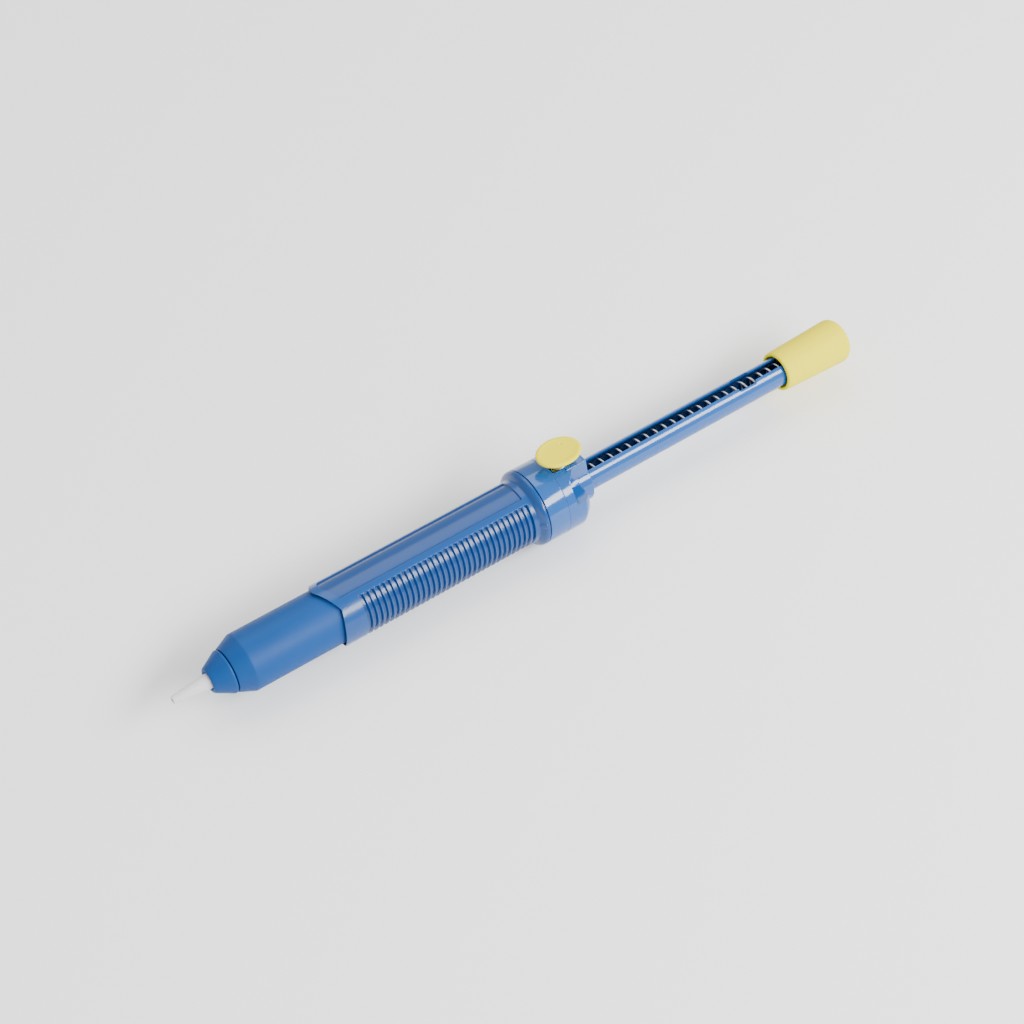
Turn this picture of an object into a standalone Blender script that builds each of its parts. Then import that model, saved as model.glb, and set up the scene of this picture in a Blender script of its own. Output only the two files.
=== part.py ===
"""Desoldering pump with a slotted loading plunger, at real size, in metres, +Z up.

The pump's axis runs along X: the nozzle points to -X, the loading knob to +X and the
release button stands on +Z. The origin is under the middle of the bounding box, so the
collar, the fattest piece, touches the plane z = 0. The plunger is drawn fully out.
"""

from math import cos, pi, radians, sin

import bmesh
import bpy

MM = 0.001

# Overall sizes, in millimetres. Every "_X" is a station along the axis.
OVERALL_LENGTH = 255.2
COLLAR_RADIUS = 12.7

# Clearances
GAP = 0.3  # between pieces that touch, slide or screw together
SEAL_GAP = 0.1  # between the piston's ring and the bore

# Barrel, the vacuum cylinder
BORE_RADIUS = 8.2
BARREL_WALL = 1.1
BARREL_FRONT_LENGTH = 5.0  # of the barrel's own cone
BARREL_INNER_CONE = 1.4  # from the cone's rear to the full bore
HEAD_ROOM = 0.95  # in front of the piston with the plunger fully in
MOUTH_RADIUS = 2.8
SPIGOT_RADIUS = 5.0
SPIGOT_LENGTH = 1.85

# Nozzle and its cap
TIP_LENGTH = 11.7  # the part that shows
TIP_END_RADIUS = 1.15
TIP_ROOT_RADIUS = 2.35
TIP_BORE_RADIUS = 0.62
NOZZLE_CAP_LENGTH = 6.25
NOZZLE_CAP_FRONT_RADIUS = 4.0
NOZZLE_CAP_REAR_RADIUS = 7.1
NOZZLE_CAP_HOLE_RADIUS = 3.0
NOZZLE_CAP_FACE = 1.6
NOZZLE_SEAL_WIRE = 0.35

# Grip sleeve
GRIP_WALL = 0.9
GRIP_LENGTH = 72.7  # at the sides, from its front edge to the seam
TONGUE_LENGTH = 3.5
TONGUE_HALF_ANGLE = radians(50)
TONGUE_TURN = radians(20)  # about the axis, away from straight up
FLANGE_LENGTH = 3.0
LABEL_DEPTH = 0.45
LABEL_HALF_ANGLE = radians(28)
LABEL_TURN = radians(9)
LABEL_FRONT = 6.0  # from the tip of the tongue
LABEL_REAR = 5.4  # from the seam

# Rear cap
COLLAR_LENGTH = 16.0
BOSS_WALL = 1.77
BOSS_LENGTH = 4.95
BLOCK_HALF_WIDTH = 4.1
RELIEF_LENGTH = 5.5  # of the two steps beside the block
RELIEF_FLARE = 3.4  # how far their inner walls lean outwards
RELIEF_FLOOR = 4.7  # above the axis
BLOCK_LENGTH = 3.9
BLOCK_LEAN = 1.1  # how far its rear face leans forward at the top
CAP_SPIGOT_LENGTH = 5.4
BUSH_LENGTH = 10.1
BUSH_WALL = 0.9

# Plunger
TUBE_RADIUS = 5.0
TUBE_WALL = 1.1
SLOT_FRONT = 6.3  # behind the collar's front face
NOTCH_LENGTH = 6.4
OVERTRAVEL = 2.7  # past the point where the latch catches
PISTON_LENGTH = 13.0
PISTON_WEB = 5.0
PISTON_RING_WIRE = 0.85
BUMPER_LENGTH = 4.7
PLUG_LENGTH = 9.7
SCREW_HEAD_RADIUS = 3.0
SCREW_HEAD_LENGTH = 1.9
SCREW_SHANK_RADIUS = 1.5
PIN_RADIUS = 0.4
PIN_PROTRUSION = 1.5  # out of the nozzle with the plunger fully in

# Knob
KNOB_LENGTH = 27.3
KNOB_STANDOFF = 3.65  # from the boss with the plunger fully in
KNOB_WALL = 1.25
KNOB_TAPER = 0.95
KNOB_END_WALL = 3.1
KNOB_MOUTH_GAP = 0.5
SEAT_FLANGE = 1.4
SEAT_NOSE_LENGTH = 5.0

# Springs and what holds them
SPRING_WIRE_RADIUS = 0.425
SPRING_PITCH = 3.45
ANCHOR_STATION = 16.9  # behind the collar's front face
ANCHOR_LENGTH = 1.2
WASHER_THICKNESS = 0.8

# Release button and latch; stations are behind the collar's front face
BUTTON_STATION = 11.7
BUTTON_RISE = 5.4  # above the collar
BUTTON_HALF_LENGTH = 7.75
BUTTON_HALF_WIDTH = 5.75
BUTTON_RIM = 1.4
BUTTON_DISH = 0.3
STEM_RADIUS = 1.6
STEM_BORE_DEPTH = 3.9
POCKET_FRONT = 7.8
POCKET_REAR = 15.7
POCKET_HALF_WIDTH = 2.6
LATCH_LENGTH = 2.8
LATCH_THICKNESS = 1.0
LATCH_SCREW_RADIUS = 0.5
LATCH_SCREW_HEAD = 1.4
LATCH_SCREW_HEAD_LENGTH = 0.9
BUTTON_SPRING_WIRE = 0.2
BUTTON_SPRING_RADIUS = 2.12
BUTTON_SPRING_TURNS = 7

# Facets around
TURN_STEPS = 40
SMALL_STEPS = 24
COIL_STEPS = 8
SMALL_COIL_STEPS = 10
RING_SIDES = 8
WELD = 0.00001  # metres

# Radii, widths and heights above the axis that follow from the sizes
BARREL_RADIUS = BORE_RADIUS + BARREL_WALL
GRIP_INNER_RADIUS = BARREL_RADIUS + GAP
GRIP_RADIUS = GRIP_INNER_RADIUS + GRIP_WALL
CAP_SPIGOT_RADIUS = BORE_RADIUS - GAP
PISTON_RADIUS = BORE_RADIUS - GAP - 0.05
GUIDE_RADIUS = TUBE_RADIUS + GAP
BUSH_RADIUS = GUIDE_RADIUS + BUSH_WALL
BOSS_RADIUS = GUIDE_RADIUS + BOSS_WALL
TUBE_BORE_RADIUS = TUBE_RADIUS - TUBE_WALL
SLOT_WIDTH = 0.8 * TUBE_RADIUS
LATCH_HALF_WIDTH = 0.5 * TUBE_RADIUS
LATCH_TOP = 0.46 * TUBE_RADIUS
NOTCH_HALF_WIDTH = LATCH_HALF_WIDTH + GAP
ANCHOR_HALF_WIDTH = SLOT_WIDTH / 2 - 0.4
ANCHOR_TOP = COLLAR_RADIUS - 3.0
ANCHOR_BOTTOM = 0.8 - TUBE_BORE_RADIUS
SEAT_NOSE_RADIUS = TUBE_BORE_RADIUS - 1.7
KNOB_FRONT_RADIUS = TUBE_RADIUS + KNOB_MOUTH_GAP + KNOB_WALL
KNOB_REAR_RADIUS = KNOB_FRONT_RADIUS + KNOB_TAPER
BLOCK_HEIGHT = COLLAR_RADIUS - 0.1
POCKET_FLOOR = GUIDE_RADIUS + 1.7
STEM_BOTTOM = TUBE_RADIUS + 1.3
BUTTON_TOP = COLLAR_RADIUS + BUTTON_RISE

# The stroke is what the overall length leaves: the barrel and the plunger each need it.
BARREL_REST = (
    BARREL_FRONT_LENGTH + BARREL_INNER_CONE + HEAD_ROOM + PISTON_LENGTH + BUMPER_LENGTH
    + CAP_SPIGOT_LENGTH + GAP
)
STROKE = (
    OVERALL_LENGTH - TIP_LENGTH - NOZZLE_CAP_LENGTH - BARREL_REST - COLLAR_LENGTH
    - BOSS_LENGTH - KNOB_STANDOFF - KNOB_LENGTH - 2 * GAP
) / 2

# Stations along the axis that follow from the sizes
TIP_X = -OVERALL_LENGTH / 2
KNOB_END_X = OVERALL_LENGTH / 2
NOZZLE_CAP_X = TIP_X + TIP_LENGTH
BARREL_X = NOZZLE_CAP_X + NOZZLE_CAP_LENGTH + GAP
SEAM_X = BARREL_X + BARREL_REST + STROKE
GRIP_X = SEAM_X - GRIP_LENGTH
TONGUE_X = GRIP_X - TONGUE_LENGTH
CAP_X = SEAM_X + GAP
CAP_SPIGOT_X = CAP_X - CAP_SPIGOT_LENGTH
COLLAR_REAR_X = CAP_X + COLLAR_LENGTH
RELIEF_X = COLLAR_REAR_X - RELIEF_LENGTH
BOSS_END_X = COLLAR_REAR_X + BOSS_LENGTH
BUSH_REAR_X = CAP_SPIGOT_X + GAP + BUSH_LENGTH
BUTTON_X = CAP_X + BUTTON_STATION
POCKET_FRONT_X = CAP_X + POCKET_FRONT
POCKET_REAR_X = CAP_X + POCKET_REAR
ANCHOR_X = CAP_X + ANCHOR_STATION
BUMPER_X = CAP_SPIGOT_X - GAP - BUMPER_LENGTH
PISTON_REAR_X = BUMPER_X - GAP
PISTON_X = PISTON_REAR_X - PISTON_LENGTH
SOCKET_X = PISTON_X + PISTON_WEB
TUBE_X = SOCKET_X + GAP
SLOT_FRONT_X = CAP_X + SLOT_FRONT
KNOB_X = KNOB_END_X - KNOB_LENGTH
SEAT_REAR_X = KNOB_END_X - KNOB_END_WALL - GAP
SEAT_X = SEAT_REAR_X - SEAT_FLANGE
TUBE_END_X = SEAT_X - GAP
WASHER_X = ANCHOR_X + ANCHOR_LENGTH + GAP
SPRING_X = WASHER_X + WASHER_THICKNESS + GAP
LATCH_X = BUTTON_X - LATCH_LENGTH / 2
NOTCH_X = LATCH_X - GAP + STROKE - OVERTRAVEL


def mm(*values):
    """Millimetres as metres."""
    return tuple(value * MM for value in values)


def new_collection(name):
    collection = bpy.data.collections.new(name)
    bpy.context.scene.collection.children.link(collection)
    return collection


def new_material(name, colour, roughness, metallic=0.0):
    material = bpy.data.materials.new(name)
    material.use_nodes = True
    shader = material.node_tree.nodes["Principled BSDF"]
    shader.inputs["Base Color"].default_value = (*colour, 1.0)
    shader.inputs["Roughness"].default_value = roughness
    shader.inputs["Metallic"].default_value = metallic
    return material


def new_object(name, data, parent, material=None, location=(0, 0, 0)):
    """A piece when it has a material, and a hidden cutter when it has none."""
    obj = bpy.data.objects.new(name, data)
    obj.parent = parent
    obj.location = mm(*location)
    if material is None:
        cutters.objects.link(obj)
        obj.display_type = "WIRE"
        obj.hide_render = True
    else:
        parts.objects.link(obj)
        data.materials.append(material)
    return obj


def new_empty(name, location):
    empty = bpy.data.objects.new(name, None)
    parts.objects.link(empty)
    empty.location = mm(*location)
    return empty


def turned(name, outline, parent, material=None, steps=TURN_STEPS, upright=False):
    """A closed outline of (station, radius) points swept round the axis.

    The outline goes along its outer side towards higher stations and comes back along
    its inner side, or starts and ends on the axis itself.
    """
    points = [mm(radius, 0, station) for station, radius in reversed(outline)]
    edges = [(i, i + 1) for i in range(len(points) - 1)]
    if outline[0][1] > 0:
        edges.append((len(points) - 1, 0))
    mesh = bpy.data.meshes.new(name)
    mesh.from_pydata(points, edges, [])
    obj = new_object(name, mesh, parent, material)
    if not upright:
        obj.rotation_euler = (0, pi / 2, 0)
    screw = obj.modifiers.new("Turn", "SCREW")
    screw.steps = steps
    screw.render_steps = steps
    screw.use_merge_vertices = True
    screw.merge_threshold = WELD
    weld = obj.modifiers.new("Close", "WELD")
    weld.merge_threshold = WELD
    return obj


def box(name, low, high, parent, material=None, turn=0.0):
    """A box between two corners, turned about the X axis by an angle."""
    mesh = bpy.data.meshes.new(name)
    shape = bmesh.new()
    bmesh.ops.create_cube(shape, size=1.0)
    middle = [(a + b) / 2 for a, b in zip(low, high)]
    size = mm(*(b - a for a, b in zip(low, high)))
    bmesh.ops.scale(shape, vec=size, verts=shape.verts)
    bmesh.ops.translate(shape, vec=mm(*middle), verts=shape.verts)
    shape.to_mesh(mesh)
    shape.free()
    obj = new_object(name, mesh, parent, material)
    obj.rotation_euler = (turn, 0, 0)
    return obj


def rod(name, radius, bottom, top, parent, material=None, station=0.0):
    """An upright cylinder at a station on the axis."""
    mesh = bpy.data.meshes.new(name)
    shape = bmesh.new()
    bmesh.ops.create_cone(
        shape, cap_ends=True, segments=SMALL_STEPS, radius1=radius * MM,
        radius2=radius * MM, depth=(top - bottom) * MM,
    )
    shape.to_mesh(mesh)
    shape.free()
    return new_object(name, mesh, parent, material, (station, 0, (bottom + top) / 2))


def drum(name, radius, start, end, parent):
    """A cylinder along the axis, used as a cutter."""
    return turned(name, [(start, 0), (start, radius), (end, radius), (end, 0)], parent)


def combine(obj, other, operation):
    step = obj.modifiers.new(operation.title(), "BOOLEAN")
    step.operation = operation
    step.object = other


def cut(obj, *others):
    for other in others:
        combine(obj, other, "DIFFERENCE")


def add(obj, other):
    combine(obj, other, "UNION")


def ring(name, wire, middle_radius, station, parent, material, steps=TURN_STEPS):
    """An O-ring: a round section swept round the axis."""
    turns = [2 * pi * i / RING_SIDES for i in range(RING_SIDES)]
    outline = [(station - wire * cos(t), middle_radius + wire * sin(t)) for t in turns]
    return turned(name, outline, parent, material, steps)


def coil(name, path, wire, parent, material, location=(0, 0, 0)):
    """A round wire along a list of points, with its ends closed."""
    curve = bpy.data.curves.new(name, "CURVE")
    curve.dimensions = "3D"
    curve.bevel_depth = wire * MM
    curve.bevel_resolution = 2
    curve.use_fill_caps = True
    spline = curve.splines.new("POLY")
    spline.points.add(len(path) - 1)
    for point, place in zip(spline.points, path):
        point.co = (*mm(*place), 1)
    return new_object(name, curve, parent, material, location)


def helix(length, radius, turns, steps):
    """Points of a helix along Z with one closed turn at each end."""
    count = int(round(turns * steps))
    closed = 2 * SPRING_WIRE_RADIUS
    points = []
    for i in range(count + 1):
        turn = i / steps
        if turn < 1:
            rise = closed * turn
        elif turn > turns - 1:
            rise = length - closed * (turns - turn)
        else:
            rise = closed + (length - 2 * closed) * (turn - 1) / (turns - 2)
        angle = 2 * pi * turn
        points.append((radius * cos(angle), radius * sin(angle), rise))
    return points


def make_nozzle(body):
    """The tip, its cap and the O-ring between the tip and the barrel."""
    flange_x = NOZZLE_CAP_X + NOZZLE_CAP_FACE + GAP
    flange_rear = BARREL_X - SPIGOT_LENGTH - 2 * (NOZZLE_SEAL_WIRE + GAP)
    flange_radius = SPIGOT_RADIUS - 1.3
    turned(
        "nozzle_tip",
        [
            (TIP_X, TIP_BORE_RADIUS),
            (TIP_X, TIP_END_RADIUS),
            (NOZZLE_CAP_X, TIP_ROOT_RADIUS),
            (flange_x, TIP_ROOT_RADIUS + 0.1),
            (flange_x, flange_radius),
            (flange_rear, flange_radius),
            (flange_rear, MOUTH_RADIUS - 2 * GAP),
            (BARREL_X - 1.0, MOUTH_RADIUS - 2 * GAP),
            (BARREL_X - 1.0, 1.5),
            (NOZZLE_CAP_X, 1.2),
        ],
        body, ptfe, SMALL_STEPS,
    )
    ring(
        "nozzle_seal", NOZZLE_SEAL_WIRE, MOUTH_RADIUS + 0.3,
        BARREL_X - SPIGOT_LENGTH - NOZZLE_SEAL_WIRE - GAP, body, black_rubber, SMALL_STEPS,
    )
    cavity_radius = flange_radius + GAP
    thread_radius = SPIGOT_RADIUS + GAP
    thread_x = BARREL_X - SPIGOT_LENGTH - GAP
    turned(
        "nozzle_cap",
        [
            (NOZZLE_CAP_X, NOZZLE_CAP_HOLE_RADIUS),
            (NOZZLE_CAP_X, NOZZLE_CAP_FRONT_RADIUS - 0.3),
            (NOZZLE_CAP_X + 0.3, NOZZLE_CAP_FRONT_RADIUS + 0.1),
            (BARREL_X - GAP, NOZZLE_CAP_REAR_RADIUS),
            (BARREL_X - GAP, thread_radius),
            (thread_x, thread_radius),
            (thread_x, cavity_radius),
            (NOZZLE_CAP_X + NOZZLE_CAP_FACE, cavity_radius),
            (NOZZLE_CAP_X + NOZZLE_CAP_FACE, NOZZLE_CAP_HOLE_RADIUS),
        ],
        body, blue_satin,
    )


def make_barrel(body):
    """The vacuum cylinder with its cone and the threaded spigot in front."""
    cone_x = BARREL_X + BARREL_FRONT_LENGTH
    turned(
        "barrel",
        [
            (BARREL_X - SPIGOT_LENGTH, MOUTH_RADIUS),
            (BARREL_X - SPIGOT_LENGTH, SPIGOT_RADIUS),
            (BARREL_X, SPIGOT_RADIUS),
            (BARREL_X, NOZZLE_CAP_REAR_RADIUS),
            (cone_x, BARREL_RADIUS),
            (SEAM_X, BARREL_RADIUS),
            (SEAM_X, BORE_RADIUS),
            (cone_x + BARREL_INNER_CONE, BORE_RADIUS),
            (BARREL_X + 2.0, MOUTH_RADIUS),
        ],
        body, blue_satin,
    )


def make_grip(body):
    """The grip sleeve: a tongue over the barrel, a sunken label panel and a flange."""
    sleeve = turned(
        "grip_sleeve",
        [
            (TONGUE_X, GRIP_INNER_RADIUS),
            (TONGUE_X, GRIP_RADIUS),
            (SEAM_X - FLANGE_LENGTH, GRIP_RADIUS),
            (SEAM_X - 0.65 * FLANGE_LENGTH, GRIP_RADIUS + 0.3 * (COLLAR_RADIUS - GRIP_RADIUS)),
            (SEAM_X - 0.35 * FLANGE_LENGTH, GRIP_RADIUS + 0.8 * (COLLAR_RADIUS - GRIP_RADIUS)),
            (SEAM_X - 0.1 * FLANGE_LENGTH, COLLAR_RADIUS),
            (SEAM_X, COLLAR_RADIUS),
            (SEAM_X, GRIP_INNER_RADIUS),
        ],
        body, blue_satin,
    )
    reach = GRIP_RADIUS + 2
    tongue_half = GRIP_RADIUS * sin(TONGUE_HALF_ANGLE)
    front = drum("grip_front_cutter", reach, TONGUE_X - 1, GRIP_X, body)
    tongue = box(
        "tongue_keeper", (TONGUE_X - 2, -tongue_half, 0), (GRIP_X + 1, tongue_half, reach + 1),
        body, turn=-TONGUE_TURN,
    )
    for vertex in tongue.data.vertices:
        if vertex.co.x < GRIP_X * MM:
            vertex.co.y *= 0.1
    cut(front, tongue)

    floor = drum("label_floor", GRIP_RADIUS - LABEL_DEPTH, TONGUE_X - 1, SEAM_X, body)
    label_half = GRIP_RADIUS * sin(LABEL_HALF_ANGLE)
    label = box(
        "label_cutter", (TONGUE_X + LABEL_FRONT, -label_half, 0),
        (SEAM_X - LABEL_REAR, label_half, reach), body, turn=-LABEL_TURN,
    )
    cut(label, floor)
    cut(sleeve, front, label)


def make_rear_cap(body):
    """The collar with the boss behind it, the block over the latch and their openings."""
    cap = turned(
        "rear_cap",
        [
            (CAP_SPIGOT_X, BUSH_RADIUS + GAP),
            (CAP_SPIGOT_X, CAP_SPIGOT_RADIUS),
            (CAP_X, CAP_SPIGOT_RADIUS),
            (CAP_X, COLLAR_RADIUS),
            (RELIEF_X, COLLAR_RADIUS),
            (COLLAR_REAR_X - 0.5, COLLAR_RADIUS - 0.4),
            (COLLAR_REAR_X, COLLAR_RADIUS - 1.0),
            (COLLAR_REAR_X, BOSS_RADIUS),
            (BOSS_END_X - 0.4, BOSS_RADIUS),
            (BOSS_END_X, BOSS_RADIUS - 0.4),
            (BOSS_END_X, GUIDE_RADIUS),
            (BUSH_REAR_X + GAP, GUIDE_RADIUS),
            (BUSH_REAR_X + GAP, BUSH_RADIUS + GAP),
        ],
        body, blue_gloss,
    )
    block_rear = COLLAR_REAR_X + BLOCK_LENGTH + BLOCK_LEAN - 0.4
    block = box(
        "latch_block", (RELIEF_X + 1, -BLOCK_HALF_WIDTH, GUIDE_RADIUS + 0.2),
        (block_rear, BLOCK_HALF_WIDTH, BLOCK_HEIGHT), body,
    )
    for vertex in block.data.vertices:
        if vertex.co.x > COLLAR_REAR_X * MM and vertex.co.z > GUIDE_RADIUS * 2 * MM:
            vertex.co.x -= BLOCK_LEAN * MM
    pocket = box(
        "button_pocket", (POCKET_FRONT_X, -POCKET_HALF_WIDTH, POCKET_FLOOR),
        (POCKET_REAR_X, POCKET_HALF_WIDTH, COLLAR_RADIUS + 1), body,
    )
    stem_hole = rod("stem_hole", STEM_RADIUS + GAP, 0, POCKET_FLOOR + 1, body, station=BUTTON_X)
    anchor_slot = box(
        "anchor_slot", (ANCHOR_X - GAP, -ANCHOR_HALF_WIDTH - GAP, 0),
        (ANCHOR_X + ANCHOR_LENGTH + GAP, ANCHOR_HALF_WIDTH + GAP, ANCHOR_TOP + GAP), body,
    )
    relief = box(
        "side_relief", (RELIEF_X, -COLLAR_RADIUS - 1, RELIEF_FLOOR),
        (COLLAR_REAR_X + 1, COLLAR_RADIUS + 1, COLLAR_RADIUS + 1), body,
    )
    keeper_half = BLOCK_HALF_WIDTH - 0.35
    keeper = box(
        "block_keeper", (RELIEF_X - 1, -keeper_half, 0),
        (COLLAR_REAR_X + 2, keeper_half, COLLAR_RADIUS + 2), body,
    )
    for vertex in keeper.data.vertices:
        if vertex.co.x < RELIEF_X * MM:
            vertex.co.y *= 1 + RELIEF_FLARE / keeper_half
    boss = drum("boss_keeper", BOSS_RADIUS + 0.12, RELIEF_X - 1, COLLAR_REAR_X + 2, body)
    cut(relief, keeper, boss)
    cut(cap, relief)
    add(cap, block)
    cut(cap, pocket, stem_hole, anchor_slot)

    turned(
        "guide_bush",
        [
            (CAP_SPIGOT_X + GAP, GUIDE_RADIUS),
            (CAP_SPIGOT_X + GAP, BUSH_RADIUS),
            (BUSH_REAR_X, BUSH_RADIUS),
            (BUSH_REAR_X, GUIDE_RADIUS),
        ],
        body, white_nylon, SMALL_STEPS,
    )
    bumper_rear = BUMPER_X + BUMPER_LENGTH
    turned(
        "bumper_ring",
        [
            (BUMPER_X, GUIDE_RADIUS + GAP),
            (BUMPER_X, CAP_SPIGOT_RADIUS - 0.4),
            (BUMPER_X + 0.4, CAP_SPIGOT_RADIUS),
            (bumper_rear, CAP_SPIGOT_RADIUS),
            (bumper_rear, GUIDE_RADIUS + GAP),
        ],
        body, black_rubber,
    )


def make_main_spring(body):
    """The spring, the plate that anchors it through the slot and the washer between."""
    box(
        "spring_anchor", (ANCHOR_X, -ANCHOR_HALF_WIDTH, ANCHOR_BOTTOM),
        (ANCHOR_X + ANCHOR_LENGTH, ANCHOR_HALF_WIDTH, ANCHOR_TOP), body, steel,
    )
    radius = TUBE_BORE_RADIUS - GAP - SPRING_WIRE_RADIUS
    outer = radius + SPRING_WIRE_RADIUS
    turned(
        "spring_washer",
        [
            (WASHER_X, SCREW_SHANK_RADIUS),
            (WASHER_X, outer),
            (WASHER_X + WASHER_THICKNESS, outer),
            (WASHER_X + WASHER_THICKNESS, SCREW_SHANK_RADIUS),
        ],
        body, steel, SMALL_STEPS,
    )
    length = TUBE_END_X - SPRING_X - 2 * SPRING_WIRE_RADIUS
    turns = round(length / SPRING_PITCH)
    spring = coil(
        "main_spring", helix(length, radius, turns, COIL_STEPS), SPRING_WIRE_RADIUS,
        body, steel, (SPRING_X + SPRING_WIRE_RADIUS, 0, 0),
    )
    spring.rotation_euler = (0, pi / 2, 0)


def make_button(body, slide):
    """The thumb button, the latch under it, their screw and the return spring."""
    underside = BUTTON_TOP - BUTTON_RIM
    half = BUTTON_HALF_WIDTH
    disc = turned(
        "release_button",
        [
            (underside, 0),
            (underside, half - 0.4),
            (underside + 0.4, half),
            (BUTTON_TOP - 0.3, half),
            (BUTTON_TOP, half - 0.4),
            (BUTTON_TOP - BUTTON_DISH, half - 2.5),
            (BUTTON_TOP - BUTTON_DISH, 0),
        ][::-1],
        slide, yellow, 36, upright=True,
    )
    disc.scale = (BUTTON_HALF_LENGTH / BUTTON_HALF_WIDTH, 1, 1)
    stem = rod("button_stem", STEM_RADIUS, STEM_BOTTOM, underside + 0.5, slide)
    bore = rod(
        "button_bore", LATCH_SCREW_RADIUS + GAP, STEM_BOTTOM - 1,
        STEM_BOTTOM + STEM_BORE_DEPTH, slide,
    )
    add(disc, stem)
    cut(disc, bore)

    latch = box(
        "latch_bar", (-LATCH_LENGTH / 2, -LATCH_HALF_WIDTH, LATCH_TOP - LATCH_THICKNESS),
        (LATCH_LENGTH / 2, LATCH_HALF_WIDTH, LATCH_TOP), slide, steel,
    )
    neck = rod("latch_neck", STEM_RADIUS, LATCH_TOP - 0.5, STEM_BOTTOM - GAP, slide)
    hole = rod("latch_hole", LATCH_SCREW_RADIUS + GAP, 0, STEM_BOTTOM + 1, slide)
    add(latch, neck)
    cut(latch, hole)

    head_top = LATCH_TOP - LATCH_THICKNESS - GAP
    turned(
        "latch_screw",
        [
            (head_top - LATCH_SCREW_HEAD_LENGTH, 0),
            (head_top - LATCH_SCREW_HEAD_LENGTH, LATCH_SCREW_HEAD),
            (head_top, LATCH_SCREW_HEAD),
            (head_top, LATCH_SCREW_RADIUS),
            (STEM_BOTTOM + STEM_BORE_DEPTH - GAP, LATCH_SCREW_RADIUS),
            (STEM_BOTTOM + STEM_BORE_DEPTH - GAP, 0),
        ],
        slide, steel, SMALL_STEPS, upright=True,
    )
    length = underside - POCKET_FLOOR - 2 * (GAP + BUTTON_SPRING_WIRE)
    steps = SMALL_COIL_STEPS
    coil(
        "button_spring",
        [
            (
                BUTTON_SPRING_RADIUS * cos(2 * pi * i / steps),
                BUTTON_SPRING_RADIUS * sin(2 * pi * i / steps),
                length * i / (BUTTON_SPRING_TURNS * steps),
            )
            for i in range(BUTTON_SPRING_TURNS * steps + 1)
        ],
        BUTTON_SPRING_WIRE, body, steel,
        (BUTTON_X, 0, POCKET_FLOOR + GAP + BUTTON_SPRING_WIRE),
    )


def make_plunger(slide):
    """The slotted tube with the piston on its front end."""
    tube = turned(
        "plunger_tube",
        [
            (TUBE_X, TUBE_BORE_RADIUS),
            (TUBE_X, TUBE_RADIUS),
            (TUBE_END_X, TUBE_RADIUS),
            (TUBE_END_X, TUBE_BORE_RADIUS),
        ],
        slide, blue_gloss, SMALL_STEPS + 4,
    )
    half = SLOT_WIDTH / 2
    slot = box("tube_slot", (SLOT_FRONT_X, -half, 0), (TUBE_END_X + 1, half, TUBE_RADIUS + 1), slide)
    notch = box(
        "latch_notch", (NOTCH_X, -NOTCH_HALF_WIDTH, 0),
        (NOTCH_X + NOTCH_LENGTH, NOTCH_HALF_WIDTH, TUBE_RADIUS + 1), slide,
    )
    cut(tube, slot, notch)

    thread = SCREW_SHANK_RADIUS + GAP
    ring_x = PISTON_X + 0.52 * PISTON_LENGTH
    groove = PISTON_RING_WIRE + GAP
    ring_middle = BORE_RADIUS - SEAL_GAP - PISTON_RING_WIRE
    groove_floor = ring_middle - groove
    turned(
        "piston",
        [
            (PISTON_X, thread),
            (PISTON_X, PISTON_RADIUS - 1.2),
            (PISTON_X + 1.2, PISTON_RADIUS),
            (ring_x - groove, PISTON_RADIUS),
            (ring_x - groove, groove_floor),
            (ring_x + groove, groove_floor),
            (ring_x + groove, PISTON_RADIUS),
            (PISTON_REAR_X, PISTON_RADIUS),
            (PISTON_REAR_X, GUIDE_RADIUS),
            (SOCKET_X, GUIDE_RADIUS),
            (SOCKET_X, thread),
        ],
        slide, white_nylon,
    )
    ring("piston_ring", PISTON_RING_WIRE, ring_middle, ring_x, slide, black_rubber)
    plug_radius = TUBE_BORE_RADIUS - GAP
    turned(
        "tube_plug",
        [
            (TUBE_X, thread),
            (TUBE_X, plug_radius),
            (TUBE_X + PLUG_LENGTH, plug_radius),
            (TUBE_X + PLUG_LENGTH, thread),
        ],
        slide, white_nylon, SMALL_STEPS,
    )
    head_rear = PISTON_X - GAP
    head_x = head_rear - SCREW_HEAD_LENGTH
    pin_seat = PIN_RADIUS + GAP
    pin_end = TUBE_X - GAP
    turned(
        "pin_screw",
        [
            (head_x, pin_seat),
            (head_x, SCREW_HEAD_RADIUS - 0.5),
            (head_x + 0.5, SCREW_HEAD_RADIUS),
            (head_rear, SCREW_HEAD_RADIUS),
            (head_rear, SCREW_SHANK_RADIUS),
            (TUBE_X + PLUG_LENGTH - 1, SCREW_SHANK_RADIUS),
            (TUBE_X + PLUG_LENGTH - 1, pin_seat),
        ],
        slide, steel, SMALL_STEPS,
    )
    pin_x = TIP_X - PIN_PROTRUSION + STROKE
    turned(
        "cleaning_pin",
        [
            (pin_x, 0),
            (pin_x, PIN_RADIUS * 0.7),
            (pin_x + 0.2, PIN_RADIUS),
            (pin_end, PIN_RADIUS),
            (pin_end, 0),
        ],
        slide, steel, SMALL_STEPS // 2,
    )


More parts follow.
